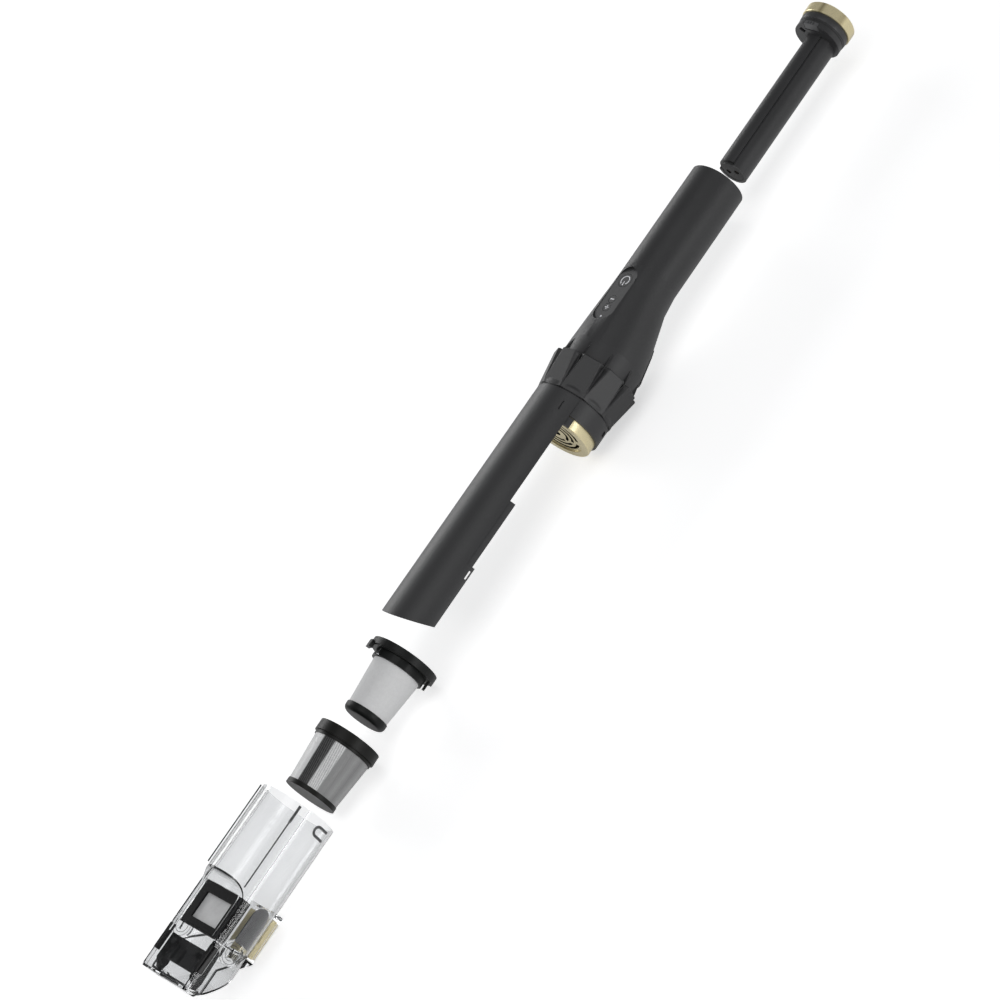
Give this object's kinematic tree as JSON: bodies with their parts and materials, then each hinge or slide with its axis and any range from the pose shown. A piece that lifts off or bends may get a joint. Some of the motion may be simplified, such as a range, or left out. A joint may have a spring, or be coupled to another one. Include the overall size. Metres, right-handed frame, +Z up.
{
  "type": "handheld vacuum",
  "caption": "Slim tubular handheld vacuum with a crown collar, top spine cover, clear dust cup, two filters and a plug-in battery, laid out apart along one axis.",
  "frame": {"origin": "middle of the laid-out object at the level of the surface it lies on", "axes": "+X along the body towards the battery, +Z up, the panel side"},
  "size_m": [0.8468, 0.0678, 0.068],
  "materials": {
    "housing": "satin black plastic",
    "collar": "satin black plastic",
    "cover": "satin black plastic",
    "gold": "champagne metallic coat",
    "cap_gold": "champagne metallic coat",
    "cap_disc": "satin black plastic",
    "motor_metal": "satin; stands for the motor with its windings",
    "mount_rubber": "matte",
    "fan_plastic": "satin",
    "steel": "bright",
    "exhaust": "matte black plastic",
    "foam": "open foam",
    "panel": "satin black plastic",
    "buttons": "satin black plastic with light symbols",
    "light": "frosted light guide",
    "board": "solder mask",
    "pad_rubber": "matte",
    "inner_plastic": "matte",
    "battery_case": "satin black plastic",
    "battery_ring": "satin black plastic",
    "tab": "grey plastic",
    "cells": null,
    "terminals": "plated",
    "seals": "matte",
    "filter_frame": "satin black plastic",
    "fleece": "felted filter fleece",
    "mesh_frame": "satin black plastic",
    "mesh_steel": "fine perforated screen",
    "clear": "clear plastic",
    "frame_plastic": "dark grey plastic",
    "flap_rubber": "milky silicone",
    "cheek_plastic": "dark grey plastic"
  },
  "bodies": {
    "main": {"handle_housing": "housing", "motor_housing": "housing", "crown_collar": "collar", "spine_cover": "cover", "inlet_grille": "gold", "motor_can": "motor_metal", "motor_mount": "mount_rubber", "exhaust_grille": "exhaust", "exhaust_foam": "foam", "panel_plate": "panel", "charge_light": "light", "control_board": "board", "button_pad": "pad_rubber", "battery_sleeve": "inner_plastic", "battery_contacts": "inner_plastic", "board_screws": "steel"},
    "fan": {"impeller": "fan_plastic", "motor_shaft": "steel"},
    "power_button": {"power_button": "buttons"},
    "minus_button": {"minus_button": "buttons"},
    "plus_button": {"plus_button": "buttons"},
    "battery": {"battery_tube": "battery_case", "battery_neck": "battery_case", "battery_seal": "seals", "battery_cap_ring": "battery_ring", "battery_cap": "cap_gold", "battery_cap_disc": "cap_disc", "battery_cells": "cells", "battery_plug": "inner_plastic", "battery_terminals": "terminals", "battery_board": "board"},
    "release_tab": {"release_tab": "tab"},
    "fine_filter": {"filter_flange": "filter_frame", "filter_gasket": "seals", "filter_fleece": "fleece", "filter_end_cap": "filter_frame", "filter_screw": "steel"},
    "mesh_filter": {"mesh_ring": "mesh_frame", "mesh_screen": "mesh_steel", "mesh_ribs": "mesh_frame", "mesh_base": "mesh_frame"},
    "dust_cup": {"dust_cup": "clear", "inlet_frame": "frame_plastic", "flap_pin": "steel", "nose_bracket": "frame_plastic", "side_pads": "frame_plastic", "latch_pod": "clear", "latch_cheeks": "cheek_plastic", "latch_spring": "steel", "door_seal": "seals", "door_pin": "steel"},
    "inlet_flap": {"inlet_flap": "flap_rubber"},
    "nose_door": {"nose_door": "clear"},
    "cup_latch": {"cup_latch": "gold"}
  },
  "joints": [
    {"name": "cup_slide", "type": "slide", "parent": "main", "child": "dust_cup", "axis": [1, 0, 0], "range_m": [0, 0.3141]},
    {"name": "mesh_slide", "type": "slide", "parent": "main", "child": "mesh_filter", "axis": [1, 0, 0], "range_m": [0, 0.2543]},
    {"name": "filter_slide", "type": "slide", "parent": "main", "child": "fine_filter", "axis": [1, 0, 0], "range_m": [0, 0.1931]},
    {"name": "battery_slide", "type": "slide", "parent": "main", "child": "battery", "axis": [1, 0, 0], "range_m": [-0.1453, 0]},
    {"name": "fan_spin", "type": "hinge", "parent": "main", "child": "fan", "pos_m": [0.05835, 0, 0.034], "axis": [1, 0, 0], "continuous": true},
    {"name": "power_press", "type": "slide", "parent": "main", "child": "power_button", "axis": [0, 0, -1], "range_m": [0, 0.0006], "stiffness_N_per_m": 1500},
    {"name": "minus_press", "type": "slide", "parent": "main", "child": "minus_button", "axis": [0, 0, -1], "range_m": [0, 0.0006], "stiffness_N_per_m": 1500},
    {"name": "plus_press", "type": "slide", "parent": "main", "child": "plus_button", "axis": [0, 0, -1], "range_m": [0, 0.0006], "stiffness_N_per_m": 1500},
    {"name": "release_press", "type": "slide", "parent": "battery", "child": "release_tab", "axis": [0, 0.2419, -0.9703], "range_m": [0, 0.0008], "stiffness_N_per_m": 1500},
    {"name": "cup_latch_press", "type": "slide", "parent": "dust_cup", "child": "cup_latch", "axis": [0, 0, 1], "range_m": [0, 0.0012], "stiffness_N_per_m": 2000, "deforming": ["latch_spring"]},
    {"name": "nose_door_hinge", "type": "hinge", "parent": "dust_cup", "child": "nose_door", "pos_m": [-0.42075, 0, 0.0343], "axis": [0, 1, 0], "range_deg": [0, 120]},
    {"name": "inlet_flap_hinge", "type": "hinge", "parent": "dust_cup", "child": "inlet_flap", "pos_m": [-0.36885, 0.0129, 0.0439], "axis": [1, 0, 0], "range_deg": [0, 60], "stiffness_Nm_per_rad": 0.002, "springref_deg": -17.19}
  ],
  "couplings": [
    {"joint": "mesh_slide", "follows": "cup_slide", "ratio": 0.80961},
    {"joint": "filter_slide", "follows": "cup_slide", "ratio": 0.61477}
  ]
}
